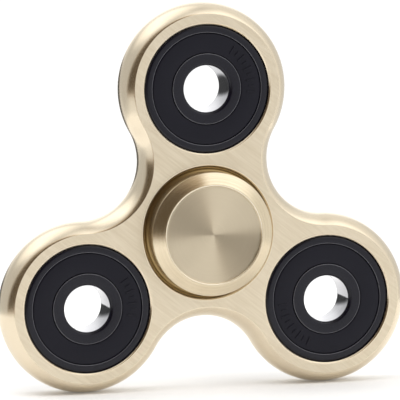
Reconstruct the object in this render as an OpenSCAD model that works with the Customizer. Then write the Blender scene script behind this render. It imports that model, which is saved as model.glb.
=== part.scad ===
// Three-lobed fidget spinner: a machined frame, a sealed ball bearing in the hub and
// one in each lobe, and two finger caps that screw together through the hub bearing.
// It stands on its two lower lobes. The spin axis is Y, the front faces -Y and +Z is up.
// Every piece is drawn lying flat, with its axis on Z and its front up, and stood up at the end.

/* [Bearings] */
// Outside diameter of a bearing
bearing_od = 22; // [19:0.5:30]
// Bore diameter of a bearing
bearing_bore = 8; // [6:0.1:9.6]
// Width of a bearing
bearing_w = 7; // [6.8:0.1:10]
// Ball diameter
ball_d = 3.97; // [3.2:0.01:4]
// Balls in a bearing
ball_count = 7; // [6:1:8]
// Depth of the ball grooves in the rings
groove_depth = 0.55; // [0.3:0.01:0.7]
// Rounding of the rings' bore and outside corners
ring_round = 0.55; // [0.3:0.05:0.7]
// Clearance between balls and grooves
race_gap = 0.02; // [0.01:0.005:0.05]

/* [Seals] */
// Thickness of a seal
seal_t = 0.8; // [0.5:0.05:0.85]
// Depth of a seal's face below the rings' faces
seal_inset = 0.15; // [0.05:0.01:0.18]
// Height of the outer ring's step that a seal fits into
seal_step = 0.67; // [0.4:0.01:0.8]
// How far a seal's bead reaches into the outer ring's groove
seal_bead = 0.22; // [0.1:0.01:0.25]
// Rounding of a seal's visible edges
seal_round = 0.18; // [0.1:0.01:0.2]
// Clearance between a seal's lip and the inner ring
lip_gap = 0.06; // [0.02:0.01:0.1]

/* [Cages] */
// Sheet thickness of a cage
cage_t = 0.3; // [0.2:0.01:0.3]
// Radial width of a cage
cage_w = 1.1; // [0.9:0.05:1.6]
// Clearance between balls and cage pockets
pocket_gap = 0.06; // [0.03:0.01:0.08]
// Room kept between a cage and the seal beside it
cage_room = 0.1; // [0.05:0.01:0.1]
// Shank diameter of a cage rivet
rivet_d = 0.6; // [0.4:0.05:0.7]
// Head diameter of a cage rivet
rivet_head_d = 1; // [0.8:0.05:1.1]
// Head height of a cage rivet
rivet_head_t = 0.2; // [0.1:0.05:0.3]

/* [Frame] */
// Depth of the bearings' faces below the frame's faces
seat_recess = 0.25; // [0.1:0.05:1]
// Metal between the hub seat and each lobe seat
web = 2.6; // [1.5:0.1:10]
// Metal round each lobe seat, at the widest line of the rim
lobe_wall = 3.7; // [2.5:0.1:5]
// Metal between the hub seat and each waist, at the widest line of the rim
waist_wall = 3.7; // [2.9:0.1:5]
// How far the rim's crease lies inside its widest line
rim_inset = 1.8; // [0.8:0.05:2]
// Radial clearance of the bearings in their seats
seat_gap = 0.01; // [0:0.005:0.03]
// Edge break at the mouths of the lobe seats
lobe_edge = 0.2; // [0.1:0.05:0.6]
// Edge break at the mouths of the hub seat
hub_edge = 0.55; // [0.2:0.05:0.9]

/* [Caps] */
// Radial gap between a cap's wall and the seat that it sinks into
cap_side_gap = 0.41; // [0.2:0.01:1]
// Gap between the centre bearing's face and a cap
cap_gap = 0.1; // [0.05:0.05:0.5]
// Height of a cap's straight wall
cap_wall_h = 2.8; // [1:0.1:4]
// Radial width of a cap's bevel
cap_bevel_w = 1.95; // [1:0.05:3]
// Height of a cap's bevel
cap_bevel_h = 1.2; // [0.6:0.05:2]
// Width of the narrow land round a cap's dish
cap_land = 0.35; // [0.2:0.05:1]
// Depth of a cap's dish at its edge
dish_depth = 0.28; // [0.1:0.01:0.6]
// How much deeper the dish is in its middle
dish_sink = 0.15; // [0.05:0.01:0.5]
// Edge break at the foot of a cap's wall
cap_foot = 0.2; // [0.1:0.05:0.5]
// Width of a cap's shoulder outside the bearing bore
shoulder_w = 1.6; // [1:0.05:1.7]
// Radial clearance of the cap stems in the bearing bore
stem_gap = 0.015; // [0.01:0.005:0.05]
// Gap between the ends of the two cap stems
stem_split = 0.2; // [0.1:0.05:0.6]
// Edge break at the ends of the stems
stem_edge = 0.4; // [0.1:0.05:0.6]

/* [Thread] */
// Outside diameter of the stud's thread
thread_d = 5; // [4:0.1:5.4]
// Pitch of the thread
thread_pitch = 0.8; // [0.5:0.1:1]
// Ridges on the stud
thread_turns = 5; // [3:1:5]
// Radial clearance between stud and socket
thread_gap = 0.08; // [0.04:0.01:0.12]
// Depth left under the stud in the socket
socket_spare = 0.6; // [0.3:0.1:1]

/* [Hidden] */
$fn = 96;
// Overrun of a cut past the face that it opens
over = 0.5;
lobe_count = 3;
lobe_step = 360 / lobe_count;

// Bearing, as radii from its axis and half its width
ring_r = bearing_od / 2;
bore_r = bearing_bore / 2;
half_w = bearing_w / 2;
ball_r = ball_d / 2;
pitch_r = (ring_r + bore_r) / 2;
inner_land = pitch_r - ball_r + groove_depth;
outer_land = pitch_r + ball_r - groove_depth;
race_r = ball_r + race_gap;
seal_face = half_w - seal_inset;
seal_back = seal_face - seal_t;
seal_r = outer_land + seal_step;
lip_r = inner_land + lip_gap;
lip_thin = seal_t / 4;

// Frame: lobes of radius lobe_r, joined by waists that touch them without a corner
half_t = half_w + seat_recess;
seat_r = ring_r + seat_gap;
lobe_reach = bearing_od + web;
lobe_r = ring_r + lobe_wall;
waist_reach = ring_r + waist_wall;
hollow_r = (pow(waist_reach, 2) + pow(lobe_reach, 2) - waist_reach * lobe_reach - pow(lobe_r, 2))
    / (2 * lobe_r - 2 * waist_reach + lobe_reach);
hollow_reach = waist_reach + hollow_r;
rim_r = (pow(rim_inset, 2) + pow(half_t, 2)) / (2 * rim_inset);
// The hollows are cut a hair shallow, so that they don't graze the lobes
cut_r = hollow_r - 0.01;
// Hole in the plate under each lobe, half way across the lobe's face
core_r = (seat_r + lobe_edge + lobe_r - rim_inset) / 2;
// Caps, as heights above the middle of the frame
cap_r = seat_r - cap_side_gap;
cap_under = half_w + cap_gap;
cap_bevel_z = cap_under + cap_wall_h;
cap_top = cap_bevel_z + cap_bevel_h;
cap_land_r = cap_r - cap_bevel_w;
dish_r = cap_land_r - cap_land;
dish_z = cap_top - dish_depth;
dish_arc_r = (pow(dish_r, 2) + pow(dish_sink, 2)) / (2 * dish_sink);
stem_r = bore_r - stem_gap;
stem_end = stem_split / 2;
thread_r = thread_d / 2;
thread_core = thread_r - 0.6 * thread_pitch;
thread_len = thread_turns * thread_pitch;

// Each seat is its name and the place of its axis on the frame
SEATS = [
    ["centre", [0, 0]],
    ["top", lobe_place(90)],
    ["left", lobe_place(90 + lobe_step)],
    ["right", lobe_place(90 + 2 * lobe_step)]
];
PIECES = [
    "outer_ring", "inner_ring", "balls", "front_cage", "back_cage", "rivets", "front_seal", "back_seal"
];

function lobe_place(angle) = lobe_reach * [cos(angle), sin(angle)];

// Stands a flat-drawn piece up: its front faces -Y and its top faces +Z
module upright() {
    rotate([90, 0, 0]) children();
}

// The same piece turned over to the back
module turned_back() {
    rotate([0, 180, 0]) children();
}

module at_seat(seat) {
    upright() translate([seat[1][0], seat[1][1], 0]) children();
}

module round_ball_pitch(start) {
    for (i = [0 : ball_count - 1])
        rotate([0, 0, start + i * 360 / ball_count]) translate([pitch_r, 0, 0]) children();
}

// ---------------------------------------------------------------- frame

// What a seat takes away: a straight bore with a broken edge at both mouths
module seat_section(edge) {
    translate([0, -half_t - over]) square([seat_r, 2 * (half_t + over)]);
    for (side = [-1, 1])
        polygon([
            [seat_r - over, side * (half_t - edge - over)],
            [seat_r - over, side * (half_t + over)],
            [seat_r + edge + over, side * (half_t + over)]
        ]);
}

// Half of a lobe: flat faces, an arched rim and the seat through it
module lobe_section() {
    difference() {
        union() {
            translate([0, -half_t]) square([lobe_r - rim_r, 2 * half_t]);
            intersection() {
                translate([lobe_r - rim_r, 0]) circle(rim_r);
                translate([0, -half_t]) square([lobe_r, 2 * half_t]);
            }
        }
        seat_section(lobe_edge);
    }
}

// What a hollow takes away: the same arch, seen from the hollow's axis
module hollow_section() {
    difference() {
        translate([0, -half_t - over]) square([cut_r + rim_r, 2 * (half_t + over)]);
        translate([cut_r + rim_r, 0]) circle(rim_r);
    }
}

module at_lobe(i) {
    rotate([0, 0, 90 + lobe_step * i]) translate([lobe_reach, 0, 0]) children();
}

// The plate between the lobes, with corners on the axes of the lobes and past those of the hollows
module plate() {
    corners = [
        for (i = [0 : lobe_count - 1], half = [0, 1])
            let (angle = 90 + lobe_step * (i + half / 2), reach = half == 0 ? lobe_reach : hollow_reach + over)
                reach * [cos(angle), sin(angle)]
    ];
    difference() {
        translate([0, 0, -half_t]) linear_extrude(2 * half_t) polygon(corners);
        for (i = [0 : lobe_count - 1]) {
            at_lobe(i) cylinder(h = 2 * (half_t + over), r = core_r, center = true);
            rotate([0, 0, 90 + lobe_step * (i + 0.5)]) translate([hollow_reach, 0, 0])
                rotate_extrude() hollow_section();
        }
    }
}

module spinner_frame() {
    color("wheat") upright() difference() {
        union() {
            plate();
            for (i = [0 : lobe_count - 1])
                at_lobe(i) rotate_extrude() lobe_section();
        }
        rotate_extrude() seat_section(hub_edge);
    }
}

// ---------------------------------------------------------------- bearings

// A rectangle whose right-hand corners are rounded
module rounded_right(width, height, round_r) {
    translate([0, -height / 2]) square([width - round_r, height]);
    translate([0, round_r - height / 2]) square([width, height - 2 * round_r]);
    for (side = [-1, 1]) translate([width - round_r, side * (height / 2 - round_r)]) circle(round_r);
}

module outer_ring(seat) {
    color("dimgray") at_seat(seat) rotate_extrude() difference() {
        translate([outer_land, 0]) rounded_right(ring_r - outer_land, bearing_w, ring_round);
        translate([pitch_r, 0]) circle(race_r);
        for (side = [-1, 1]) scale([1, side]) {
            translate([outer_land - over, seal_back]) square([seal_step + over, seal_inset + seal_t + over]);
            translate([seal_r - over, seal_back]) square([seal_bead + over, seal_t / 2]);
        }
    }
}

module inner_ring(seat) {
    color("dimgray") at_seat(seat) rotate_extrude() difference() {
        translate([inner_land, 0]) mirror([1, 0]) rounded_right(inner_land - bore_r, bearing_w, ring_round);
        translate([pitch_r, 0]) circle(race_r);
    }
}

module balls(seat) {
    color("silver") at_seat(seat) round_ball_pitch(0) sphere(ball_r);
}

// One pressed half of the cage: flat webs and a domed pocket over each ball
module cage_half() {
    intersection() {
        difference() {
            cylinder(h = seal_back - cage_room, r = pitch_r + cage_w / 2);
            translate([0, 0, -over]) cylinder(h = half_w + 2 * over, r = pitch_r - cage_w / 2);
        }
        difference() {
            union() {
                cylinder(h = cage_t, r = pitch_r + cage_w);
                round_ball_pitch(0) sphere(ball_r + pocket_gap + cage_t);
            }
            round_ball_pitch(0) sphere(ball_r + pocket_gap);
            round_ball_pitch(180 / ball_count) cylinder(h = 4 * cage_t, d = rivet_d, center = true);
        }
    }
}

module front_cage(seat) {
    color("gainsboro") at_seat(seat) cage_half();
}

module back_cage(seat) {
    color("gainsboro") at_seat(seat) mirror([0, 0, 1]) cage_half();
}

module rivets(seat) {
    color("silver") at_seat(seat) round_ball_pitch(180 / ball_count) {
        cylinder(h = 2 * (cage_t + rivet_head_t), d = rivet_d, center = true);
        for (side = [0, 180])
            rotate([side, 0, 0]) translate([0, 0, cage_t]) cylinder(h = rivet_head_t, d = rivet_head_d);
    }
}

// Flat washer of rubber: a bead held in the outer ring and a thinner lip at the inner ring
module seal() {
    rotate_extrude() difference() {
        union() {
            translate([lip_r, seal_back]) square([seal_r - lip_r, seal_t]);
            translate([seal_r - over, seal_back]) square([seal_bead + over, seal_t / 2]);
        }
        translate([lip_r - over, seal_back - over]) square([over + lip_thin, over + lip_thin]);
        for (edge = [[lip_r, 1], [seal_r, -1]])
            translate([edge[0], seal_face]) polygon([
                [-edge[1] * over, -seal_round - over], [edge[1] * (seal_round + over), over],
                [-edge[1] * over, over]
            ]);
    }
}

module front_seal(seat) {
    color("darkslategray") at_seat(seat) seal();
}

module back_seal(seat) {
    color("darkslategray") at_seat(seat) turned_back() seal();
}

// ---------------------------------------------------------------- caps

// Ridges and grooves of the thread as an outline from its root to its tip
module thread_section(clearance) {
    polygon(concat(
        [[0, 0]],
        [for (i = [0 : thread_turns - 1], step = [0, 1])
            [clearance + (step == 0 ? thread_core : thread_r), (i + step / 2) * thread_pitch]],
        [[clearance + thread_core, thread_len], [0, thread_len]]
    ));
}

// Solid shape of a cap: a dished disc on a shoulder and a stem
module cap_blank() {
    rotate_extrude() difference() {
        polygon([
            [0, stem_end], [stem_r - stem_edge, stem_end], [stem_r, stem_end + stem_edge],
            [stem_r, half_w], [bore_r + shoulder_w, half_w], [bore_r + shoulder_w, cap_under],
            [cap_r - cap_foot, cap_under], [cap_r, cap_under + cap_foot], [cap_r, cap_bevel_z],
            [cap_land_r, cap_top], [dish_r + dish_depth / 2, cap_top], [dish_r, dish_z], [0, dish_z]
        ]);
        intersection() {
            translate([0, dish_z - dish_sink + dish_arc_r]) circle(dish_arc_r, $fn = 720);
            translate([0, stem_end]) square([dish_r, cap_top]);
        }
    }
}

module front_cap() {
    color("tan") upright() difference() {
        cap_blank();
        translate([0, 0, -stem_end]) rotate_extrude() thread_section(thread_gap);
        cylinder(h = thread_len - stem_end + socket_spare, r = thread_core + thread_gap);
    }
}

module back_cap() {
    color("tan") upright() {
        turned_back() cap_blank();
        translate([0, 0, -stem_end]) rotate_extrude() thread_section(0);
    }
}

spinner_frame();
front_cap();
back_cap();
for (seat = SEATS) {
    outer_ring(seat);
    inner_ring(seat);
    balls(seat);
    front_cage(seat);
    back_cage(seat);
    rivets(seat);
    front_seal(seat);
    back_seal(seat);
}
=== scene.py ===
"""Looks of a three-lobed hand spinner: anodised frame and caps, black sealed bearings, studio."""

from __future__ import annotations

import logging
import math
from dataclasses import dataclass
from enum import Enum
from typing import Any, Iterable, Sequence, Union

import bpy
from mathutils import Matrix, Vector
from mathutils.geometry import tessellate_polygon

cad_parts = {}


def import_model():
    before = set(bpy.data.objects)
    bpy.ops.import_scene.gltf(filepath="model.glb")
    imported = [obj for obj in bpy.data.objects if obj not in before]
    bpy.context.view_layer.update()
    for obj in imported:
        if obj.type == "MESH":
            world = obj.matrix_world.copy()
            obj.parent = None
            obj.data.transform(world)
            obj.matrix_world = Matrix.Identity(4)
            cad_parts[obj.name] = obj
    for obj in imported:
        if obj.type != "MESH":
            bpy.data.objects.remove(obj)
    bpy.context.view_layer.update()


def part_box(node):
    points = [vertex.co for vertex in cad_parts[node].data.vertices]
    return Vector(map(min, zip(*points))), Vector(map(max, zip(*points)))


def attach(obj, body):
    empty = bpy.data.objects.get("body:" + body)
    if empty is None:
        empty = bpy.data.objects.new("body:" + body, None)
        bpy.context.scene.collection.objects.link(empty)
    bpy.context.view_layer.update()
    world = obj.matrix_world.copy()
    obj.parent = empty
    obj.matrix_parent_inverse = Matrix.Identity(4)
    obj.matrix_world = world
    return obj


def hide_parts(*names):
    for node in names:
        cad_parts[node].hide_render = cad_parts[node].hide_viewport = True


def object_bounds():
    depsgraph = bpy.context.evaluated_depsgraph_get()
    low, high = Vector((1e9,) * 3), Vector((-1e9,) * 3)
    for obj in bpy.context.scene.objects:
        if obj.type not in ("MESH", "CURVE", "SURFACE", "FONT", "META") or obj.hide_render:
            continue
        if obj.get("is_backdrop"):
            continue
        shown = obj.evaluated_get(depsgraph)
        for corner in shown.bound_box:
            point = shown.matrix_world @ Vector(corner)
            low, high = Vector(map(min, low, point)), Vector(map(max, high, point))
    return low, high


LOG = logging.getLogger("hand_spinner")
MM = 0.001
ON_AXIS = 1e-6  # a point nearer than this to the axis lies on it, in mm
Colour = tuple[float, float, float]
Point = tuple[float, float]
Operand = Union["Wire", float]


class Side(Enum):
    """The two sides of the spinner, with the sign of the outward axis."""

    FRONT = 1
    BACK = -1


class Seat(Enum):
    """The four bearing seats, by the prefix of their node names."""

    CENTRE = "centre"
    TOP = "top"
    LEFT = "left"
    RIGHT = "right"


# Where the lobe bearings' seals carry raised bars, in degrees
TICK_SPANS: dict[Seat, Point] = {
    Seat.TOP: (-5.0, 55.0),
    Seat.LEFT: (-10.0, 40.0),
    Seat.RIGHT: (185.0, 250.0),
}


# ---------------------------------------------------------------- shader maths


@dataclass
class Wire:
    """An output socket that can be used in Python expressions.

    Args:
        graph: The graph that the socket belongs to.
        socket: The output socket.
    """

    graph: "Graph"
    socket: bpy.types.NodeSocket

    def _math(self, operation: str, first: Operand, second: Operand) -> "Wire":
        """Adds one Math node.

        Args:
            operation: The node's operation.
            first: Its first value.
            second: Its second value.

        Returns:
            The result.
        """
        return self.graph.node(
            "ShaderNodeMath", {"operation": operation}, {0: first, 1: second}
        )

    def __add__(self, other: Operand) -> "Wire":
        """Adds a value."""
        return self._math("ADD", self, other)

    def __radd__(self, other: Operand) -> "Wire":
        """Adds to a value."""
        return self._math("ADD", other, self)

    def __sub__(self, other: Operand) -> "Wire":
        """Takes a value away."""
        return self._math("SUBTRACT", self, other)

    def __rsub__(self, other: Operand) -> "Wire":
        """Takes this away from a value."""
        return self._math("SUBTRACT", other, self)

    def __mul__(self, other: Operand) -> "Wire":
        """Multiplies by a value."""
        return self._math("MULTIPLY", self, other)

    def __rmul__(self, other: Operand) -> "Wire":
        """Multiplies a value."""
        return self._math("MULTIPLY", other, self)


class Graph:
    """A node tree that is being built.

    Args:
        tree: The node tree, which is emptied first.
    """

    def __init__(self, tree: bpy.types.NodeTree) -> None:
        """Starts from an empty tree."""
        self.tree = tree
        tree.nodes.clear()

    def node(
        self,
        kind: str,
        settings: dict[str, Any] | None = None,
        sockets: dict[int | str, Any] | None = None,
        output: int | str = 0,
    ) -> Wire:
        """Adds a node, sets it up and wires it.

        Args:
            kind: The node's type.
            settings: The node's attributes, which are set before its sockets.
            sockets: Values or wires by socket name or number.
            output: Which output the result stands for.

        Returns:
            The output as a wire.
        """
        made = self.tree.nodes.new(kind)
        for key, value in (settings or {}).items():
            setattr(made, key, value)
        for key, value in (sockets or {}).items():
            if isinstance(value, Wire):
                self.tree.links.new(value.socket, made.inputs[key])
            else:
                made.inputs[key].default_value = value
        return Wire(self, made.outputs[output] if len(made.outputs) else None)

    def mix(self, factor: Operand, first: Any, second: Any) -> Wire:
        """Mixes two colours.

        Args:
            factor: How much of the second.
            first: Colour or wire at 0.
            second: Colour or wire at 1.

        Returns:
            The mixed colour.
        """
        wide = [c if isinstance(c, Wire) else (*c, 1.0) for c in (first, second)]
        return self.node(
            "ShaderNodeMix", {"data_type": "RGBA"}, {0: factor, 6: wide[0], 7: wide[1]}, 2
        )

    def vector(self, operation: str, first: Any, second: Any, output: int | str = 0) -> Wire:
        """Adds one Vector Math node.

        Args:
            operation: The node's operation.
            first: Vector or wire.
            second: Vector or wire.
            output: "Value" for operations that give a number.

        Returns:
            The result.
        """
        return self.node(
            "ShaderNodeVectorMath", {"operation": operation}, {0: first, 1: second}, output
        )

    def range(self, value: Wire, low: float, high: float, to_low: float, to_high: float) -> Wire:
        """Maps a value smoothly from one range to another, held at both ends.

        Args:
            value: The value to map.
            low: Where the first range starts.
            high: Where it ends.
            to_low: Result at the start.
            to_high: Result at the end.

        Returns:
            The mapped value.
        """
        return self.node(
            "ShaderNodeMapRange",
            {"interpolation_type": "SMOOTHSTEP"},
            {0: value, 1: low, 2: high, 3: to_low, 4: to_high},
        )

    def place(self) -> Wire:
        """The point on the object, in its own metres."""
        return self.node("ShaderNodeTexCoord", output="Object")

    def radius(self, place: Wire) -> Wire:
        """Distance of a point from the piece's own upright axis.

        Args:
            place: The point.

        Returns:
            The distance, in metres.
        """
        flat = self.vector("MULTIPLY", place, (1.0, 1.0, 0.0))
        return self.vector("LENGTH", flat, (0.0, 0.0, 0.0), "Value")

    def noise(self, where: Wire, scale: float, detail: float = 2.0) -> Wire:
        """Fractal noise from 0 to 1.

        Args:
            where: The point.
            scale: Waves in a metre.
            detail: Octaves.

        Returns:
            The noise value.
        """
        return self.node(
            "ShaderNodeTexNoise", {}, {"Vector": where, "Scale": scale, "Detail": detail}
        )

    def bump(self, height: Wire, distance: float, strength: float) -> Wire:
        """Turns a height into a normal.

        Args:
            height: Height from 0 to 1.
            distance: What a height of 1 stands for, in metres.
            strength: Share of the effect.

        Returns:
            The bumped normal.
        """
        return self.node(
            "ShaderNodeBump", {}, {"Height": height, "Distance": distance, "Strength": strength}
        )


# ---------------------------------------------------------------- finishes


class Finish:
    """A finish, which is one material."""

    name: str

    def surface(self, graph: Graph) -> dict[int | str, Any]:
        """Says what the surface is made of.

        Args:
            graph: The material's graph.

        Returns:
            Values or wires of the shader's sockets.
        """
        raise NotImplementedError

    def material(self) -> bpy.types.Material:
        """Builds the material.

        Returns:
            The material.
        """
        material = bpy.data.materials.new(self.name)
        material.use_nodes = True
        graph = Graph(material.node_tree)
        shader = graph.node("ShaderNodeBsdfPrincipled", {}, self.surface(graph))
        graph.node("ShaderNodeOutputMaterial", {}, {"Surface": shader})
        return material


@dataclass(frozen=True)
class BrushedFace(Finish):
    """Anodised face, brushed in straight strokes that lean to one side."""

    name: str = "champagne_brushed_face"
    pale: Colour = (0.742, 0.657, 0.508)
    deep: Colour = (0.655, 0.565, 0.418)
    lean: float = 38.0
    fine_strokes: float = 5200.0
    broad_strokes: float = 1300.0
    fine_draw: float = 0.05
    broad_draw: float = 0.08
    fine_share: float = 0.6
    stroke_share: float = 0.75
    contrast: Point = (0.33, 0.67)
    clouds: float = 60.0
    stroke_depth: float = 4e-6
    roughness: float = 0.36
    spread: float = 0.10
    anisotropy: float = 0.45
    metallic: float = 0.85
    relief: float = 0.45

    def surface(self, graph: Graph) -> dict[int | str, Any]:
        """Says what the surface is made of.

        Args:
            graph: The material's graph.

        Returns:
            Values or wires of the shader's sockets.
        """
        turned = graph.node(
            "ShaderNodeMapping", {}, {0: graph.place(), 2: (0.0, math.radians(-self.lean), 0.0)}
        )
        long_fine = graph.vector("MULTIPLY", turned, (self.fine_draw, 1.0, 1.0))
        long_broad = graph.vector("MULTIPLY", turned, (self.broad_draw, 1.0, 1.0))
        fine = graph.noise(long_fine, self.fine_strokes)
        broad = graph.noise(long_broad, self.broad_strokes)
        cloud = graph.noise(graph.place(), self.clouds)
        stroke = self.fine_share * fine + (1 - self.fine_share) * broad
        tone = self.stroke_share * stroke + (1 - self.stroke_share) * cloud
        tone = graph.range(tone, *self.contrast, 0.0, 1.0)
        return {
            "Base Color": graph.mix(tone, self.deep, self.pale),
            "Metallic": self.metallic,
            "Roughness": self.roughness + self.spread * (stroke - 0.5),
            "Anisotropic": self.anisotropy,
            "Anisotropic Rotation": (90.0 - self.lean) / 360.0,
            "Normal": graph.bump(stroke, self.stroke_depth, self.relief),
        }


@dataclass(frozen=True)
class SatinRim(Finish):
    """The same anodising on the rounded edge, rubbed smooth."""

    name: str = "champagne_satin_rim"
    pale: Colour = (0.77, 0.675, 0.52)
    deep: Colour = (0.72, 0.62, 0.46)
    clouds: float = 180.0
    grain: float = 4200.0
    grain_depth: float = 2e-6
    roughness: float = 0.2
    spread: float = 0.05
    metallic: float = 0.95
    relief: float = 0.3

    def surface(self, graph: Graph) -> dict[int | str, Any]:
        """Says what the surface is made of.

        Args:
            graph: The material's graph.

        Returns:
            Values or wires of the shader's sockets.
        """
        cloud = graph.noise(graph.place(), self.clouds, detail=3.0)
        grain = graph.noise(graph.place(), self.grain, detail=3.0)
        return {
            "Base Color": graph.mix(cloud, self.deep, self.pale),
            "Metallic": self.metallic,
            "Roughness": self.roughness + self.spread * (cloud + grain - 1),
            "Normal": graph.bump(grain, self.grain_depth, self.relief),
        }


@dataclass(frozen=True)
class TurnedMetal(Finish):
    """Metal finished on a lathe, with fine rings round the piece's own axis.

    Args:
        name: The material's name.
        pale: Colour on the crests of the rings.
        deep: Colour between them.
        roughness: Mean roughness.
        anisotropy: How much the highlights are drawn out across the rings.
        turn: Direction of the rings, as a share of a full turn.
        metallic: How far it is bare metal.
        rings: Rings in a metre.
        clouds: Slow changes of tone in a metre.
        depth: Height of the rings, in metres.
        spread: How much the roughness changes.
        relief: Share of the rings' height that is shown.
        ring_share: How much of the tone comes from the rings.
        contrast: Tones where the deep colour ends and the pale one starts.
    """

    name: str
    pale: Colour
    deep: Colour
    roughness: float = 0.24
    anisotropy: float = 0.5
    turn: float = 0.25
    metallic: float = 0.92
    rings: float = 3200.0
    clouds: float = 150.0
    depth: float = 1.5e-6
    spread: float = 0.08
    relief: float = 0.4
    ring_share: float = 0.6
    contrast: Point = (0.3, 0.7)

    def surface(self, graph: Graph) -> dict[int | str, Any]:
        """Says what the surface is made of.

        Args:
            graph: The material's graph.

        Returns:
            Values or wires of the shader's sockets.
        """
        place = graph.place()
        height = graph.vector("DOT_PRODUCT", place, (0.0, 0.0, 1.0), "Value")
        across = graph.node("ShaderNodeCombineXYZ", {}, {0: graph.radius(place), 1: height})
        rings = graph.noise(across, self.rings, detail=3.0)
        cloud = graph.noise(place, self.clouds)
        tone = self.ring_share * rings + (1 - self.ring_share) * cloud
        tone = graph.range(tone, *self.contrast, 0.0, 1.0)
        return {
            "Base Color": graph.mix(tone, self.deep, self.pale),
            "Metallic": self.metallic,
            "Roughness": self.roughness + self.spread * (rings - 0.5),
            "Anisotropic": self.anisotropy,
            "Anisotropic Rotation": self.turn,
            "Normal": graph.bump(rings, self.depth, self.relief),
        }


@dataclass(frozen=True)
class BlackOxide(Finish):
    """Blackened bearing steel, finely turned, with a cool cast.

    Args:
        name: The material's name.
        dark: Darker colour.
        light: Lighter colour.
        roughness: Mean roughness.
        gloss: Strength of the mirror gloss.
        rings: Turned rings in a metre.
        grain: Grains in a metre.
        grain_depth: Their depth, in metres.
        spread: How much the roughness changes.
        relief: Share of the grain's depth that is shown.
        contrast: Tones where the darker colour ends and the lighter one starts.
    """

    name: str = "black_ring_finish"
    dark: Colour = (0.002, 0.002, 0.007)
    light: Colour = (0.005, 0.005, 0.013)
    roughness: float = 0.26
    gloss: float = 0.34
    rings: float = 2400.0
    grain: float = 5000.0
    grain_depth: float = 2e-6
    spread: float = 0.06
    relief: float = 0.3
    contrast: Point = (0.3, 0.7)

    def surface(self, graph: Graph) -> dict[int | str, Any]:
        """Says what the surface is made of.

        Args:
            graph: The material's graph.

        Returns:
            Values or wires of the shader's sockets.
        """
        place = graph.place()
        across = graph.node("ShaderNodeCombineXYZ", {}, {0: graph.radius(place)})
        rings = graph.noise(across, self.rings, detail=3.0)
        grain = graph.noise(place, self.grain, detail=3.0)
        tone = graph.range(0.5 * rings + 0.5 * grain, *self.contrast, 0.0, 1.0)
        return {
            "Base Color": graph.mix(tone, self.dark, self.light),
            "Roughness": self.roughness + self.spread * (rings - 0.5),
            "Specular IOR Level": self.gloss,
            "Normal": graph.bump(grain, self.grain_depth, self.relief),
        }


@dataclass(frozen=True)
class SealRubber(Finish):
    """Moulded seal rubber: satin, with the faint pebble of its mould."""

    name: str = "seal_rubber_finish"
    dark: Colour = (0.004, 0.004, 0.009)
    light: Colour = (0.008, 0.008, 0.016)
    roughness: float = 0.42
    gloss: float = 0.22
    pebble: float = 6500.0
    pebble_depth: float = 8e-6
    clouds: float = 220.0
    spread: float = 0.1
    relief: float = 0.35

    def surface(self, graph: Graph) -> dict[int | str, Any]:
        """Says what the surface is made of.

        Args:
            graph: The material's graph.

        Returns:
            Values or wires of the shader's sockets.
        """
        pebble = graph.noise(graph.place(), self.pebble, detail=4.0)
        cloud = graph.noise(graph.place(), self.clouds)
        tone = 0.5 * pebble + 0.5 * cloud
        return {
            "Base Color": graph.mix(tone, self.dark, self.light),
            "Roughness": self.roughness + self.spread * (cloud - 0.5),
            "Specular IOR Level": self.gloss,
            "Normal": graph.bump(pebble, self.pebble_depth, self.relief),
        }


@dataclass(frozen=True)
class PlainSteel(Finish):
    """Steel inside the bearings, with the fine scuffs of rolling.

    Args:
        name: The material's name.
        pale: Colour of the scuffs.
        deep: Colour between them.
        roughness: Mean roughness.
        scuffs: Scuffs in a metre.
        scuff_depth: Their depth, in metres.
        spread: How much the roughness changes.
        relief: Share of the depth that is shown.
    """

    name: str
    pale: Colour
    deep: Colour
    roughness: float
    scuffs: float = 2600.0
    scuff_depth: float = 2e-6
    spread: float = 0.08
    relief: float = 0.25

    def surface(self, graph: Graph) -> dict[int | str, Any]:
        """Says what the surface is made of.

        Args:
            graph: The material's graph.

        Returns:
            Values or wires of the shader's sockets.
        """
        scuff = graph.noise(graph.place(), self.scuffs, detail=4.0)
        return {
            "Base Color": graph.mix(scuff, self.deep, self.pale),
            "Metallic": 1.0,
            "Roughness": self.roughness + self.spread * (scuff - 0.5),
            "Normal": graph.bump(scuff, self.scuff_depth, self.relief),
        }


@dataclass(frozen=True)
class StudioFloor(Finish):
    """White sweep paper with a hint of fibre, which glows a little more towards its edge."""

    name: str = "studio_floor_finish"
    pale: Colour = (0.91, 0.91, 0.91)
    deep: Colour = (0.89, 0.89, 0.89)
    fibre: float = 300.0
    roughness: float = 0.9
    gloss: float = 0.1
    glow: float = 0.08
    edge_glow: float = 0.2
    fade: Point = (0.06, 0.11)

    def surface(self, graph: Graph) -> dict[int | str, Any]:
        """Says what the surface is made of.

        Args:
            graph: The material's graph.

        Returns:
            Values or wires of the shader's sockets.
        """
        fibre = graph.noise(graph.place(), self.fibre)
        radius = graph.radius(graph.place())
        glow = graph.range(radius, *self.fade, self.glow, self.edge_glow)
        return {
            "Base Color": graph.mix(fibre, self.deep, self.pale),
            "Roughness": self.roughness,
            "Specular IOR Level": self.gloss,
            "Emission Color": graph.mix(glow, (0.0, 0.0, 0.0), (1.0, 1.0, 1.0)),
            "Emission Strength": 1.0,
        }


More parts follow.
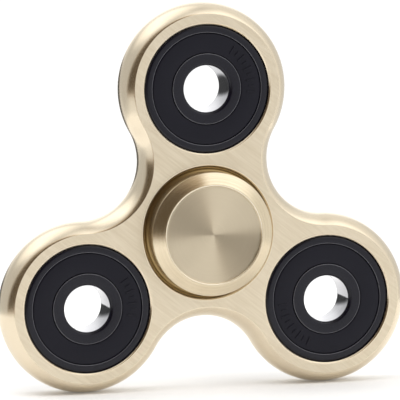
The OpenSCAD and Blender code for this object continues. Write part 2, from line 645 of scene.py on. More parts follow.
class Finishes:
    """The materials of the whole spinner, each built once."""

    def __init__(self) -> None:
        """Builds every material."""
        self.face = BrushedFace().material()
        self.rim = SatinRim().material()
        self.cap = TurnedMetal(
            "champagne_turned_cap",
            pale=(0.74, 0.64, 0.47),
            deep=(0.65, 0.55, 0.385),
            metallic=0.96,
        ).material()
        self.dish = TurnedMetal(
            "champagne_spun_dish",
            pale=(0.76, 0.665, 0.50),
            deep=(0.72, 0.625, 0.465),
            roughness=0.5,
            anisotropy=1.0,
            rings=9000.0,
            depth=6e-7,
        ).material()
        # Near-white champagne on the cap's rounded edge into the dish: a painted highlight line.
        self.dish_rim_highlight = TurnedMetal(
            "champagne_painted_highlight_edge",
            pale=(0.98, 0.93, 0.82),
            deep=(0.93, 0.87, 0.75),
            roughness=0.2,
            anisotropy=0.0,
        ).material()
        # Dark bronze, about half as bright as the frame's champagne: the hub ring sits in the gap
        # under the cap and its champagne coat is painted with that gap's shade.
        self.shaded_centre_ring = TurnedMetal(
            "champagne_centre_ring_painted_shade",
            pale=(0.36, 0.26, 0.12),
            deep=(0.25, 0.17, 0.07),
            roughness=0.3,
            anisotropy=0.3,
        ).material()
        self.bore = TurnedMetal(
            "bright_bore_steel",
            pale=(0.46, 0.46, 0.48),
            deep=(0.36, 0.36, 0.38),
            roughness=0.12,
            anisotropy=0.0,
            metallic=1.0,
        ).material()
        self.black = BlackOxide().material()
        # Lighter, glossier black on the rings' rounded edges beside the seals: a painted highlight
        # line.
        self.highlight_band = BlackOxide(
            "black_ring_painted_highlight_edge",
            dark=(0.06, 0.06, 0.072),
            light=(0.09, 0.09, 0.105),
            roughness=0.3,
            gloss=0.6,
        ).material()
        self.rubber = SealRubber().material()
        self.ball = PlainSteel(
            "ball_steel_finish", pale=(0.80, 0.80, 0.81), deep=(0.70, 0.70, 0.72), roughness=0.1
        ).material()
        self.cage = PlainSteel(
            "cage_steel_finish", pale=(0.62, 0.61, 0.60), deep=(0.48, 0.47, 0.46), roughness=0.32
        ).material()


# ---------------------------------------------------------------- shapes


@dataclass(frozen=True)
class Corner:
    """One corner of a turned section.

    Args:
        r: Distance from the axis, in mm.
        z: Height along the axis, in mm.
        round: Radius that breaks the corner, in mm.
        band: Number of the material from this corner to the next.
    """

    r: float
    z: float
    round: float = 0.0
    band: int = 0


def rounded(corners: Sequence[Corner], steps: int = 4) -> list[tuple[float, float, int]]:
    """Breaks the corners of a closed section.

    Args:
        corners: The corners in order.
        steps: Straight steps in each rounded corner.

    Returns:
        Points as distance, height and material number.
    """
    points: list[tuple[float, float, int]] = []
    for i, here in enumerate(corners):
        before, after = corners[i - 1], corners[(i + 1) % len(corners)]
        if here.round <= 0.0:
            points.append((here.r, here.z, here.band))
            continue
        spot = Vector((here.r, here.z))
        back = (Vector((before.r, before.z)) - spot).normalized()
        ahead = (Vector((after.r, after.z)) - spot).normalized()
        half = math.acos(max(-1.0, min(1.0, back.dot(ahead)))) / 2
        centre = spot + (back + ahead).normalized() * (here.round / math.sin(half))
        reach = here.round / math.tan(half)
        start = spot + back * reach - centre
        sweep = start.angle_signed(spot + ahead * reach - centre)
        for k in range(steps + 1):
            turn = Matrix.Rotation(-sweep * k / steps, 2)
            point = centre + turn @ start
            points.append((point.x, point.y, here.band))
    return points


def ring_points(centre: Point, radius: float, count: int) -> list[Point]:
    """Points round a circle, anticlockwise.

    Args:
        centre: Middle of the circle.
        radius: Its radius.
        count: How many points.

    Returns:
        The points.
    """
    return [
        (
            centre[0] + radius * math.cos(2 * math.pi * i / count),
            centre[1] + radius * math.sin(2 * math.pi * i / count),
        )
        for i in range(count)
    ]


class Shape:
    """A mesh that is being put together, in mm, before it becomes an object."""

    def __init__(self) -> None:
        """Starts empty."""
        self.points: list[tuple[float, float, float]] = []
        self.faces: list[tuple[int, ...]] = []
        self.bands: list[int] = []
        self.smooth: list[bool] = []

    def add_face(self, corners: Iterable[int], band: int = 0, smooth: bool = True) -> None:
        """Adds a face.

        Args:
            corners: Numbers of its points.
            band: Number of its material.
            smooth: Whether it is shaded smooth.
        """
        self.faces.append(tuple(corners))
        self.bands.append(band)
        self.smooth.append(smooth)

    def bridge(self, first: list[int], second: list[int], band: int) -> None:
        """Joins two closed rings of points with quads.

        Args:
            first: The ring that the faces' outsides turn away from.
            second: The next ring.
            band: Number of the material.
        """
        count = len(first)
        for i in range(count):
            j = (i + 1) % count
            if len(second) == 1:
                self.add_face((first[i], first[j], second[0]), band)
            else:
                self.add_face((first[i], first[j], second[j], second[i]), band)

    def lathe(self, section: list[tuple[float, float, int]], count: int = 144) -> None:
        """Turns a section round the axis. It is closed unless it starts and ends on the axis.

        Args:
            section: Points as distance, height and material number, anticlockwise
                with the distance to the right and the height upwards.
            count: Steps round the axis.
        """
        rings: list[list[int]] = []
        for r, z, _ in section:
            start = len(self.points)
            if r < ON_AXIS:
                self.points.append((0.0, 0.0, z))
                rings.append([start])
            else:
                self.points += [(x, y, z) for x, y in ring_points((0.0, 0.0), r, count)]
                rings.append(list(range(start, start + count)))
        for i, (_, _, band) in enumerate(section):
            here, after = rings[i], rings[(i + 1) % len(rings)]
            if len(here) == 1 and len(after) == 1:
                continue
            if len(here) == 1:
                for k in range(count):
                    self.add_face((after[(k + 1) % count], after[k], here[0]), band)
            else:
                self.bridge(here, after, band)

    def make(self, name: str, materials: Sequence[bpy.types.Material]) -> bpy.types.Object:
        """Makes the object, in metres.

        Args:
            name: Its name.
            materials: The materials, by band.

        Returns:
            The object.
        """
        mesh = bpy.data.meshes.new(name)
        mesh.from_pydata([Vector(p) * MM for p in self.points], [], self.faces)
        for material in materials:
            mesh.materials.append(material)
        mesh.polygons.foreach_set("material_index", self.bands)
        mesh.polygons.foreach_set("use_smooth", self.smooth)
        mesh.update()
        made = bpy.data.objects.new(name, mesh)
        bpy.context.collection.objects.link(made)
        return made


def stand_up(made: bpy.types.Object, centre: Vector, side: Side) -> None:
    """Stands a piece that was turned about Z on its seat, facing front or back.

    Args:
        made: The piece.
        centre: The seat's axis, in metres.
        side: Which way its top faces.
    """
    turn = Matrix.Rotation(math.radians(90.0), 4, "X")
    if side is Side.BACK:
        turn = turn @ Matrix.Rotation(math.pi, 4, "Y")
    made.matrix_world = Matrix.Translation(centre) @ turn


def seat_centre(seat: Seat) -> Vector:
    """Where a seat's axis crosses the middle of the frame.

    Args:
        seat: The seat.

    Returns:
        The point, in metres.
    """
    low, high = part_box(f"{seat.value}_outer_ring")
    return (low + high) / 2


# ---------------------------------------------------------------- frame


@dataclass
class SpinnerFrame:
    """The anodised plate with three lobes. Sizes in mm.

    Args:
        finishes: The materials.
        waist_wall: Metal between the hub seat and each waist.
        rim_inset: How far the rim's crease lies inside its widest line.
        crease_round: Rounding of that crease.
        seat_gap: Radial clearance of the bearings in their seats.
        lobe_edge: Edge break at the mouths of the lobe seats.
        hub_edge: Edge break at the mouths of the hub seat.
        edge_round: Rounding of the edge breaks' own corners.
        lobe_steps: Points round each lobe's outline.
        hollow_steps: Points round each hollow's outline.
        rim_steps: Steps across the rim.
        crease_steps: Steps across each crease.
        circle_steps: Points round each seat.
    """

    finishes: Finishes
    waist_wall: float = 3.7
    rim_inset: float = 1.8
    crease_round: float = 0.4
    seat_gap: float = 0.01
    lobe_edge: float = 0.2
    hub_edge: float = 0.55
    edge_round: float = 0.07
    lobe_steps: int = 96
    hollow_steps: int = 48
    rim_steps: int = 18
    crease_steps: int = 5
    circle_steps: int = 144

    def __post_init__(self) -> None:
        """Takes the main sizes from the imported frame."""
        self.seats: dict[Seat, Vector] = {seat: seat_centre(seat) / MM for seat in Seat}
        low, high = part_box("spinner_frame")
        ring_low, ring_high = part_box("centre_outer_ring")
        ring = (ring_high.x - ring_low.x) / MM / 2
        self.half_t = high.y / MM
        self.seat_r = ring + self.seat_gap
        self.lobe_reach = self.seats[Seat.TOP].z
        self.lobe_r = high.z / MM - self.lobe_reach
        self.waist = ring + self.waist_wall
        self.rim_r = (self.rim_inset**2 + self.half_t**2) / (2 * self.rim_inset)
        reach, lobe = self.lobe_reach, self.lobe_r
        self.hollow_r = (self.waist**2 + reach**2 - self.waist * reach - lobe**2) / (
            2 * lobe - 2 * self.waist + reach
        )
        self.hollow_reach = self.waist + self.hollow_r
        self.open = math.atan2(
            self.hollow_reach * math.sin(math.pi / 3),
            reach - self.hollow_reach * math.cos(math.pi / 3),
        )
        self.hollow_open = math.atan2(
            reach * math.sin(math.pi / 3), self.hollow_reach - reach * math.cos(math.pi / 3)
        )

    def _arc(
        self, reach: float, bearing: float, radius: float, span: tuple[float, float], steps: int
    ) -> list[Point]:
        """Points of one arc of the outline, without its last.

        Args:
            reach: Distance of its centre from the hub.
            bearing: Direction of its centre.
            radius: Its radius.
            span: First and last angle, from the bearing.
            steps: How many points.

        Returns:
            The points.
        """
        centre = Vector((reach * math.cos(bearing), reach * math.sin(bearing)))
        made = []
        for k in range(steps):
            angle = bearing + span[0] + (span[1] - span[0]) * k / steps
            made.append((centre.x + radius * math.cos(angle), centre.y + radius * math.sin(angle)))
        return made

    def outline(self, inset: float) -> list[Point]:
        """The frame's outline, drawn in by a distance.

        Args:
            inset: How far in.

        Returns:
            Points of a closed line, anticlockwise.
        """
        line: list[Point] = []
        for i in range(3):
            lobe_at = math.pi / 2 + 2 * math.pi / 3 * i
            hollow_at = lobe_at + math.pi / 3
            line += self._arc(
                self.lobe_reach,
                lobe_at,
                self.lobe_r - inset,
                (self.open - math.pi, math.pi - self.open),
                self.lobe_steps,
            )
            line += self._arc(
                self.hollow_reach,
                hollow_at,
                self.hollow_r + inset,
                (self.hollow_open - math.pi, -self.hollow_open - math.pi),
                self.hollow_steps,
            )
        return line

    def rim_line(self) -> list[Point]:
        """The rim's section from the front face to the back one.

        Returns:
            Points as inset and height.
        """
        soft, arch = self.crease_round, self.rim_r
        top = self.half_t - soft
        start = math.asin(top / (arch - soft))
        inset = arch - math.sqrt((arch - soft) ** 2 - top**2)
        steps = self.crease_steps
        turns = [math.pi / 2 + (start - math.pi / 2) * k / steps for k in range(steps)]
        front = [(inset - soft * math.cos(a), top + soft * math.sin(a)) for a in turns]
        arc = [start * (1 - 2 * k / self.rim_steps) for k in range(self.rim_steps + 1)]
        middle = [(arch * (1 - math.cos(a)), arch * math.sin(a)) for a in arc]
        back = [(i, -z) for i, z in reversed(front)]
        return front + middle + back

    def seat_line(self, edge: float) -> list[Point]:
        """A seat's bore from the front face to the back one.

        Args:
            edge: Width of the broken edge at its mouths.

        Returns:
            Points as radius and height.
        """
        soft = self.edge_round
        corners = [
            Corner(self.seat_r + edge + 2 * soft, self.half_t),
            Corner(self.seat_r + edge, self.half_t, soft),
            Corner(self.seat_r, self.half_t - edge, soft),
            Corner(self.seat_r, edge - self.half_t, soft),
            Corner(self.seat_r + edge, -self.half_t, soft),
            Corner(self.seat_r + edge + 2 * soft, -self.half_t),
        ]
        return [(r, z) for r, z, _ in rounded(corners)]

    @staticmethod
    def _rings(
        shape: Shape, lines: list[list[Point]], heights: list[float]
    ) -> list[list[int]]:
        """Adds one ring of points for each height.

        Args:
            shape: The shape to add to.
            lines: The ring at each height.
            heights: The heights.

        Returns:
            The points' numbers, ring by ring.
        """
        rings = []
        for line, height in zip(lines, heights):
            start = len(shape.points)
            shape.points += [(x, y, height) for x, y in line]
            rings.append(list(range(start, start + len(line))))
        return rings

    def build(self) -> bpy.types.Object:
        """Builds the frame and puts it in place.

        Returns:
            The piece.
        """
        shape = Shape()
        rim = self.rim_line()
        sides = [self._rings(shape, [self.outline(i) for i, _ in rim], [z for _, z in rim])]
        for first, second in zip(sides[0], sides[0][1:]):
            shape.bridge(second, first, 1)
        for seat, centre in self.seats.items():
            line = self.seat_line(self.hub_edge if seat is Seat.CENTRE else self.lobe_edge)
            lines = [ring_points((centre.x, centre.z), r, self.circle_steps) for r, _ in line]
            rings = self._rings(shape, lines, [z for _, z in line])
            for first, second in zip(rings, rings[1:]):
                shape.bridge(first, second, 1)
            sides.append(rings)
        loops = [rings[0] for rings in sides]
        flat = [[Vector(shape.points[i]) for i in loop] for loop in loops]
        front = [i for loop in loops for i in loop]
        back = [i for rings in sides for i in rings[-1]]
        for triangle in tessellate_polygon(flat):
            a, b, c = (Vector(shape.points[front[i]]).to_2d() for i in triangle)
            order = triangle if (b - a).cross(c - a) > 0 else triangle[::-1]
            shape.add_face([front[i] for i in order], 0, False)
            shape.add_face([back[i] for i in reversed(order)], 0, False)
        # drawn flat with the front up, so height goes to -Y and the drawing's up to +Z
        shape.points = [(x, -z, y) for x, y, z in shape.points]
        made = shape.make("spinner_plate", [self.finishes.face, self.finishes.rim])
        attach(made, "frame")
        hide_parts("spinner_frame")
        LOG.info("spinner_plate: %d faces", len(made.data.polygons))
        return made


# ---------------------------------------------------------------- caps


@dataclass
class FingerCap:
    """A dished cap with its shoulder and stem. Sizes in mm.

    Args:
        finishes: The materials.
        side: Which side of the spinner it covers.
        bevel_w: Radial width of the bevel.
        bevel_h: Height of the bevel.
        land: Width of the narrow land round the dish.
        dish_depth: Depth of the dish at its edge.
        dish_sink: How much deeper it is in its middle.
        foot: Rounding at the foot of the wall.
        cap_gap: Gap between the bearing's face and the cap.
        shoulder_w: Width of the shoulder outside the bearing's bore.
        stem_gap: Radial clearance of the stem in the bore.
        stem_split: Gap between the ends of the two stems.
        stem_round: Rounding at the stem's end.
        bore_r: Radius of the bearing's bore.
        soft: Rounding of the small edges.
        dish_edge: Rounding of the land's inner edge, which carries a painted highlight.
        dish_steps: Steps from the dish's edge to its middle.
        steps_round: Points round the cap.
    """

    finishes: Finishes
    side: Side
    bevel_w: float = 1.95
    bevel_h: float = 1.2
    land: float = 0.35
    dish_depth: float = 0.28
    dish_sink: float = 0.15
    foot: float = 0.2
    cap_gap: float = 0.1
    shoulder_w: float = 1.6
    stem_gap: float = 0.015
    stem_split: float = 0.2
    stem_round: float = 0.3
    bore_r: float = 4.0
    soft: float = 0.07
    dish_edge: float = 0.09
    dish_steps: int = 24
    steps_round: int = 192

    def section(self) -> list[tuple[float, float, int]]:
        """The cap's section, from the dish's middle down to the stem's end.

        Returns:
            Points as distance, height and material number.
        """
        node = f"{self.side.name.lower()}_cap"
        low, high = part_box(node)
        radius = (high.x - low.x) / MM / 2
        top = max(-low.y, high.y) / MM
        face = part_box("centre_inner_ring")[1].y / MM
        under = face + self.cap_gap
        bevel_z, land_r = top - self.bevel_h, radius - self.bevel_w
        dish_r, dish_z = land_r - self.land, top - self.dish_depth
        arc_r = (dish_r**2 + self.dish_sink**2) / (2 * self.dish_sink)
        dish = []
        for k in range(1, self.dish_steps):
            r = dish_r * (1 - k / self.dish_steps)
            drop = math.sqrt(arc_r**2 - r**2) - (arc_r - self.dish_sink)
            dish.append(Corner(r, dish_z - drop, 0.0, 1))
        stem_r, end = self.bore_r - self.stem_gap, self.stem_split / 2
        shoulder_r, slope = self.bore_r + self.shoulder_w, self.dish_depth / 2
        corners = [
            Corner(0.0, end),
            Corner(stem_r, end, self.stem_round),
            Corner(stem_r, face, self.soft),
            Corner(shoulder_r, face),
            Corner(shoulder_r, under),
            Corner(radius, under, self.foot),
            Corner(radius, bevel_z, self.soft * 2),
            Corner(land_r, top, self.soft),
            # the rounded edge into the dish and its slope take the painted highlight
            Corner(dish_r + slope, top, self.dish_edge, 2),
            Corner(dish_r + slope / 2, (top + dish_z) / 2),
            Corner(dish_r, dish_z, 0.0, 1),
            *dish,
            Corner(0.0, dish_z - self.dish_sink),
        ]
        return rounded(corners)

    def build(self) -> bpy.types.Object:
        """Builds the cap and puts it on the hub.

        Returns:
            The piece.
        """
        shape = Shape()
        shape.lathe(self.section(), self.steps_round)
        name = self.side.name.lower()
        bands = [self.finishes.cap, self.finishes.dish, self.finishes.dish_rim_highlight]
        made = shape.make(f"{name}_finger_cap", bands)
        stand_up(made, seat_centre(Seat.CENTRE), self.side)
        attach(made, "hub")
        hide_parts(f"{name}_cap")
        LOG.info("%s: %d faces", made.name, len(made.data.polygons))
        return made


# ---------------------------------------------------------------- bearings


@dataclass
class SealedBearing:
    """A black ball bearing with rubber seals. Sizes in mm.

    Args:
        finishes: The materials.
        seat: The seat that it fills.
        ticks: First and last angle of the raised bars on its seals, in degrees.
        ring_round: Rounding of the rings' bore and outside corners.
        ball_d: Ball diameter.
        groove_depth: Depth of the ball grooves.
        race_gap: Clearance between balls and grooves.
        seal_t: Thickness of a seal.
        seal_inset: Depth of a seal's face below the rings' faces.
        seal_step: Height of the outer ring's step that a seal fits into.
        seal_round: Rounding of a seal's visible edges.
        lip_gap: Clearance between a seal's lip and the inner ring.
        bore_r: Radius of the bore.
        soft: Rounding of the rings' edges, which carry a painted highlight.
        highlight_end: How far the painted highlight runs on past the rounding.
        groove_widening: Extra rounding of a seal's outer edge.
        seal_slack: Clearance of a seal in its step.
        seal_lift: How far a seal stands off its step.
        track_steps: Steps across each half of a ball groove.
        ring_steps: Steps in each rounding of the rings.
        seal_steps: Steps in each rounding of the seals.
        tick_step: Angle between the raised bars, in degrees.
        tick_height: Their height above the seal's face.
        tick_lengths: Lengths of the long and the short bars.
        tick_half_w: Half their width.
        tick_sunk: How far they reach into the seal.
        tick_bevel: Height of their bevelled top.
        tick_slim: Share of their width that is left at the top.
        tick_out: How far outside the seal's middle they stand.
    """

    finishes: Finishes
    seat: Seat
    ticks: Point | None = None
    ring_round: float = 0.55
    ball_d: float = 3.97
    groove_depth: float = 0.55
    race_gap: float = 0.02
    seal_t: float = 0.8
    seal_inset: float = 0.15
    seal_step: float = 0.67
    seal_round: float = 0.18
    lip_gap: float = 0.06
    bore_r: float = 4.0
    soft: float = 0.12
    highlight_end: float = 0.01
    groove_widening: float = 0.12
    seal_slack: float = 0.012
    seal_lift: float = 0.005
    track_steps: int = 5
    ring_steps: int = 6
    seal_steps: int = 5
    tick_step: float = 7.5
    tick_height: float = 0.13
    tick_lengths: tuple[float, float] = (1.6, 0.9)
    tick_half_w: float = 0.14
    tick_sunk: float = 0.05
    tick_bevel: float = 0.03
    tick_slim: float = 0.6
    tick_out: float = 0.1

    def __post_init__(self) -> None:
        """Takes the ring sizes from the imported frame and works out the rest."""
        low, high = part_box(f"{self.seat.value}_outer_ring")
        self.centre = (low + high) / 2
        self.ring_r = (high.x - low.x) / MM / 2
        self.half_w = (high.y - low.y) / MM / 2
        self.pitch = (self.ring_r + self.bore_r) / 2
        self.inner = self.pitch - self.ball_d / 2 + self.groove_depth
        self.outer = self.pitch + self.ball_d / 2 - self.groove_depth
        self.seal_face = self.half_w - self.seal_inset
        self.seal_back = self.seal_face - self.seal_t
        self.seal_r = self.outer + self.seal_step

    def _race(self, land: float) -> list[Corner]:
        """The track that the balls run in, from one edge to the other.

        Args:
            land: Radius of the ring's land beside it.

        Returns:
            Corners, from the upper edge down for the outer ring and up for the inner.
        """
        away = 1 if land > self.pitch else -1
        track = self.ball_d / 2 + self.race_gap
        end = math.acos(abs(land - self.pitch) / track)
        made = []
        for k in range(2 * self.track_steps + 1):
            turn = end * (1 - k / self.track_steps)
            made.append(
                Corner(self.pitch + away * track * math.cos(turn), away * track * math.sin(turn))
            )
        return made

    def _place(
        self,
        shape: Shape,
        name: str,
        body: str,
        bands: Sequence[bpy.types.Material],
    ) -> bpy.types.Object:
        """Makes a piece of the bearing, which replaces the node of its name.

        Args:
            shape: Its shape, turned about Z.
            name: What the piece is.
            body: The body that it rides on.
            bands: Its materials.

        Returns:
            The piece.
        """
        node = f"{self.seat.value}_{name}"
        made = shape.make(f"{node}_shell", bands)
        stand_up(made, self.centre, Side.BACK if name.startswith("back") else Side.FRONT)
        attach(made, body)
        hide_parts(node)
        LOG.info("%s: %d faces", made.name, len(made.data.polygons))
        return made

    def outer_ring(self) -> bpy.types.Object:
        """Builds the outer ring: in the hub a champagne coat painted dark bronze as the shade of
        the gap under the cap, in a lobe black with a painted highlight on its edges beside the
        seals.

        Returns:
            The piece.
        """
        lip, soft = self.half_w, self.soft
        corners = [
            Corner(self.outer, -self.seal_back),
            Corner(self.seal_r, -self.seal_back),
            Corner(self.seal_r, -lip, soft, 1),
            Corner(self.seal_r + soft + self.highlight_end, -lip),
            Corner(self.ring_r, -lip, self.ring_round),
            Corner(self.ring_r, lip, self.ring_round),
            Corner(self.seal_r, lip, soft, 1),
            Corner(self.seal_r, lip - soft - self.highlight_end),
            Corner(self.seal_r, self.seal_back),
            Corner(self.outer, self.seal_back),
            *self._race(self.outer),
        ]
        shape = Shape()
        shape.lathe(rounded(corners, self.ring_steps))
        if self.seat is Seat.CENTRE:
            # champagne coat painted dark as the shade of the gap under the cap
            bands = [self.finishes.shaded_centre_ring] * 2
            return self._place(shape, "outer_ring", "frame", bands)
        # in a lobe the rounded edges beside the seals take the painted highlight
        bands = [self.finishes.black, self.finishes.highlight_band]
        return self._place(shape, "outer_ring", "frame", bands)

    def inner_ring(self) -> bpy.types.Object:
        """Builds the inner ring, black outside with a painted highlight on its rounded edges
        beside the seals, and a bright bore.

        Returns:
            The piece.
        """
        lip, straight = self.half_w, self.half_w - self.ring_round
        # how far the painted highlight runs from each rounded edge beside the seals
        highlight_band = self.soft + self.highlight_end
        corners = [
            Corner(self.bore_r, -straight, 0.0, 0),
            *self._mouth(-1),
            Corner(self.inner, -lip, self.soft, 2),
            Corner(self.inner, highlight_band - lip),
            *self._race(self.inner),
            Corner(self.inner, lip, self.soft, 2),
            Corner(self.inner - highlight_band, lip),
            *self._mouth(1),
            Corner(self.bore_r, straight, 0.0, 1),
        ]
        shape = Shape()
        shape.lathe(rounded(corners, self.ring_steps))
        body = "hub" if self.seat is Seat.CENTRE else f"{self.seat.value}_core"
        bands = [self.finishes.black, self.finishes.bore, self.finishes.highlight_band]
        return self._place(shape, "inner_ring", body, bands)

    def _mouth(self, way: int) -> list[Corner]:
        """The rounded mouth of the bore.

        Args:
            way: 1 at the front, going in, or -1 at the back, coming out.

        Returns:
            Corners of the rounding.
        """
        soft, steps = self.ring_round, self.ring_steps
        middle = (self.bore_r + soft, self.half_w - soft)
        turns = [math.pi / 2 * (1 + k / steps) for k in range(steps)]
        made = [
            Corner(middle[0] + soft * math.cos(a), way * (middle[1] + soft * math.sin(a)))
            for a in turns
        ]
        return made if way > 0 else made[::-1]

    def _tick_bar(self, shape: Shape, angle: float, length: float) -> None:
        """Raises one plain bar on the seal's face.

        Args:
            shape: The seal's shape.
            angle: Where it stands, in degrees.
            length: Its length outwards.
        """
        middle, wide = (self.inner + self.seal_r) / 2 + self.tick_out, self.tick_half_w
        low, high = self.seal_face - self.tick_sunk, self.seal_face + self.tick_height
        start = len(shape.points)
        turn = Matrix.Rotation(math.radians(angle), 3, "Z")
        for height, slim in ((low, 1.0), (high - self.tick_bevel, 1.0), (high, self.tick_slim)):
            for out, side in ((-1, -1), (1, -1), (1, 1), (-1, 1)):
                grow = length / 2 - wide * (1 - slim)
                shape.points.append(
                    tuple(turn @ Vector((middle + out * grow, side * wide * slim, height)))
                )
        for level in (start, start + 4):
            for i in range(4):
                j = (i + 1) % 4
                shape.add_face((level + i, level + j, level + 4 + j, level + 4 + i), 0, False)
        shape.add_face((start + 8, start + 9, start + 10, start + 11), 0, False)
        shape.add_face((start + 3, start + 2, start + 1, start), 0, False)

    def seal(self, side: Side) -> bpy.types.Object:
        """Builds one seal.

        Args:
            side: Which side it closes.

        Returns:
            The piece.
        """
        lip, edge = self.inner + self.lip_gap, self.seal_r - self.seal_slack
        thin = self.seal_t / 4
        corners = [
            Corner(lip, self.seal_back + thin),
            Corner(lip + thin, self.seal_back),
            Corner(edge, self.seal_back + self.seal_lift),
            Corner(edge, self.seal_face, self.seal_round + self.groove_widening),
            Corner(lip, self.seal_face, self.seal_round),
        ]
        shape = Shape()
        shape.lathe(rounded(corners, self.seal_steps))
        if self.ticks is not None:
            start, end = self.ticks
            for k in range(math.floor((end - start) / self.tick_step) + 1):
                angle = start + k * self.tick_step
                self._tick_bar(shape, angle, self.tick_lengths[k % 2])
        name = f"{side.name.lower()}_seal"
        return self._place(shape, name, "frame", [self.finishes.rubber])

    def dress_inside(self) -> None:
        """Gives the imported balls, cage and rivets their finishes."""
        dresses = {
            "balls": self.finishes.ball,
            "front_cage": self.finishes.cage,
            "back_cage": self.finishes.cage,
            "rivets": self.finishes.cage,
        }
        for part, material in dresses.items():
            node = bpy.data.objects[f"{self.seat.value}_{part}"]
            for held in node.material_slots:
                held.material = material
            LOG.info("%s: %s", node.name, material.name)

    def build(self) -> None:
        """Builds every piece of the bearing."""
        self.outer_ring()
        self.inner_ring()
        for side in Side:
            self.seal(side)
        self.dress_inside()


# ---------------------------------------------------------------- studio


def heading(azimuth: float, elevation: float) -> Vector:
    """Turns two angles into a direction.

    Args:
        azimuth: Degrees to the right of the front.
        elevation: Degrees up.

    Returns:
        The direction.
    """
    turn, lift = math.radians(azimuth), math.radians(elevation)
    return Vector(
        (math.sin(turn) * math.cos(lift), -math.cos(turn) * math.cos(lift), math.sin(lift))
    )


@dataclass(frozen=True)
class SoftBox:
    """A soft light that looks at the spinner.

    Args:
        name: Its name.
        towards: Direction from the spinner to it.
        along: Rough direction of its long side.
        distance: How far away it hangs, in metres.
        size: Its long and short side, in metres.
        watts: Its power.
    """

    name: str
    towards: tuple[float, float, float]
    along: tuple[float, float, float]
    distance: float
    size: tuple[float, float]
    watts: float

    def build(self, target: Vector) -> None:
        """Adds the light.

        Args:
            target: What it looks at.
        """
        light = bpy.data.lights.new(self.name, "AREA")
        light.shape = "RECTANGLE"
        light.size, light.size_y = self.size
        light.energy = self.watts
        made = bpy.data.objects.new(self.name, light)
        made.visible_glossy = False
        away = Vector(self.towards).normalized()
        short = away.cross(Vector(self.along)).normalized()
        place = Matrix((short.cross(away), short, away)).transposed().to_4x4()
        place.translation = target + away * self.distance
        made.matrix_world = place
        bpy.context.collection.objects.link(made)


@dataclass(frozen=True)
class Glow:
    """A round soft patch of the surround.

    Args:
        azimuth: Where its middle is, in degrees to the right of the front.
        elevation: Where its middle is, in degrees up.
        wide: Half its angle where it ends, in degrees.
        full: Half its angle where it is full, in degrees.
        gain: How much light it adds, or takes away if below 0.
    """

    azimuth: float
    elevation: float
    wide: float
    full: float
    gain: float

    def mask(self, graph: Graph, way: Wire) -> Wire:
        """Builds the patch.

        Args:
            graph: The surround's graph.
            way: The direction that is looked in.

        Returns:
            1 inside the patch and 0 outside it.
        """
        middle = heading(self.azimuth, self.elevation)
        near = graph.vector("DOT_PRODUCT", way, middle, "Value")
        ends = (math.cos(math.radians(self.wide)), math.cos(math.radians(self.full)))
        return graph.range(near, *ends, 0.0, 1.0)


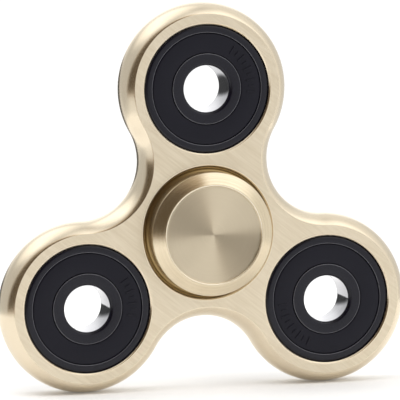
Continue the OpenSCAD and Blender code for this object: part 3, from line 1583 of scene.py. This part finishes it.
@dataclass
class Studio:
    """Floor, lights and camera.

    Args:
        azimuth: Where the camera stands, in degrees to the right of the front.
        elevation: How far it looks down, in degrees.
        roll: How far it leans, in degrees.
        distance: How far it is from its target, in metres.
        lens: Its focal length, in mm.
        sensor: Width of its sensor, in mm.
        clip: Nearest and farthest distance that it shows, in metres.
        target: What it looks at, in metres.
        floor_r: Radius of the floor, in metres.
        floor_steps: Rings of faces in the floor.
        floor_points: Points round the floor.
        backdrop: Brightness of the white behind the set.
        surround: Brightness of the light all round.
        glows: Brighter and darker patches of the surround.
        screen_edges: Directions that the dark screen's edges face, and where each one
            starts and is full.
        screen_fade: Height where the screen starts to thin out, where it ends, and the
            share that is left.
        screen_dark: How much light the screen takes away.
        screen_cast: Colour of the light that is left.
        boxes: The soft boxes.
    """

    azimuth: float = -15.99
    elevation: float = 5.91
    roll: float = -0.37
    distance: float = 0.6913
    lens: float = 364.7
    sensor: float = 36.0
    clip: Point = (0.01, 20.0)
    target: tuple[float, float, float] = (-0.00144, -0.00375, 0.00567)
    floor_r: float = 0.115
    floor_steps: int = 12
    floor_points: int = 96
    backdrop: float = 1.1
    surround: float = 1.03
    # azimuth, elevation, wide, full, gain
    glows: tuple[Glow, ...] = (
        Glow(-135.0, 60.0, 36.0, 14.0, 0.8),
        Glow(40.0, 52.0, 42.0, 18.0, 0.6),
        Glow(165.0, 16.0, 28.0, 10.0, 0.45),
        Glow(-118.0, 14.0, 46.0, 22.0, -0.36),
        Glow(125.0, 5.0, 36.0, 16.0, -0.22),
        Glow(0.0, 90.0, 30.0, 8.0, -0.35),
        Glow(-166.0, -7.0, 18.0, 10.0, -0.95),
    )
    screen_edges: tuple[tuple[tuple[float, float, float], float, float], ...] = (
        ((-0.999, -0.035, 0.0), -0.16, -0.02),
        ((-0.115, -0.935, -0.335), -0.04, 0.12),
        ((0.0, 0.0, 1.0), -0.2, -0.06),
    )
    screen_fade: tuple[float, float, float] = (0.65, 0.92, 0.6)
    screen_dark: float = 0.9
    screen_cast: Colour = (1.0, 0.70, 0.38)
    boxes: tuple[SoftBox, ...] = (
        SoftBox(
            "long_softbox",
            towards=(-0.3, -0.15, 0.93),
            along=(0.0, -1.0, 0.1),
            distance=0.6,
            size=(0.6, 0.4),
            watts=1.5,
        ),
        SoftBox(
            "right_softbox",
            towards=(0.85, -0.45, 0.35),
            along=(0.0, 0.0, 1.0),
            distance=0.8,
            size=(0.4, 0.25),
            watts=0.2,
        ),
    )

    def floor(self) -> bpy.types.Object:
        """Lays the floor under the lowest point.

        Returns:
            The floor.
        """
        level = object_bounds()[0].z / MM
        shape = Shape()
        steps, count = self.floor_steps, self.floor_points
        rings = [[0]]
        shape.points.append((0.0, 0.0, level))
        for k in range(steps):
            radius, start = self.floor_r / MM * ((k + 1) / steps) ** 2, len(shape.points)
            shape.points += [(x, y, level) for x, y in ring_points((0.0, 0.0), radius, count)]
            rings.append(list(range(start, start + count)))
        for inner, outer in zip(rings, rings[1:]):
            shape.bridge(outer, inner, 0)
        made = shape.make("studio_floor", [StudioFloor().material()])
        made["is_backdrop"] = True
        return made

    def world(self) -> None:
        """Surrounds the set with soft light, with a dark screen to the front left."""
        world = bpy.data.worlds.new("studio_surround")
        bpy.context.scene.world = world
        world.use_nodes = True
        graph = Graph(world.node_tree)
        way = graph.node("ShaderNodeTexCoord", output="Generated")
        strength: Operand = self.surround
        for glow in self.glows:
            strength = strength + glow.mask(graph, way) * glow.gain
        screen: Operand = 1.0
        for edge, start, end in self.screen_edges:
            side = graph.vector("DOT_PRODUCT", way, edge, "Value")
            screen = screen * graph.range(side, start, end, 0.0, 1.0)
        up = graph.vector("DOT_PRODUCT", way, (0.0, 0.0, 1.0), "Value")
        start, end, left = self.screen_fade
        screen = screen * graph.range(up, start, end, 1.0, left)
        seen = graph.node("ShaderNodeLightPath", output="Is Camera Ray")
        strength = strength * (1 - self.screen_dark * screen) * (1 - seen)
        strength = strength + self.backdrop * seen
        colour = graph.mix(screen * (1 - seen), (1.0, 1.0, 1.0), self.screen_cast)
        ground = graph.node("ShaderNodeBackground", {}, {"Color": colour, "Strength": strength})
        graph.node("ShaderNodeOutputWorld", {}, {"Surface": ground})

    def lights(self) -> None:
        """Hangs the soft boxes."""
        target = Vector(self.target)
        for box in self.boxes:
            box.build(target)

    def camera(self) -> None:
        """Sets the camera up."""
        roll, back = math.radians(self.roll), heading(self.azimuth, self.elevation)
        right = (-back).cross(Vector((0.0, 0.0, 1.0))).normalized()
        up = right.cross(-back)
        leaning = math.cos(roll) * right + math.sin(roll) * up
        upright = math.cos(roll) * up - math.sin(roll) * right
        data = bpy.data.cameras.new("studio_camera")
        data.lens = self.lens
        data.sensor_width = self.sensor
        data.clip_start, data.clip_end = self.clip
        made = bpy.data.objects.new("studio_camera", data)
        place = Matrix((leaning, upright, back)).transposed().to_4x4()
        place.translation = Vector(self.target) + back * self.distance
        made.matrix_world = place
        bpy.context.collection.objects.link(made)
        bpy.context.scene.camera = made

    def build(self) -> None:
        """Sets up the whole studio."""
        bpy.context.scene.view_settings.view_transform = "Standard"
        self.floor()
        self.world()
        self.lights()
        self.camera()


def main() -> None:
    """Builds the looks of the spinner in order."""
    logging.basicConfig(level=logging.INFO, format="%(name)s: %(message)s")
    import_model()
    finishes = Finishes()
    SpinnerFrame(finishes).build()
    for side in Side:
        FingerCap(finishes, side).build()
    for seat in Seat:
        SealedBearing(finishes, seat, TICK_SPANS.get(seat)).build()
    Studio().build()


if __name__ == "__main__":
    main()
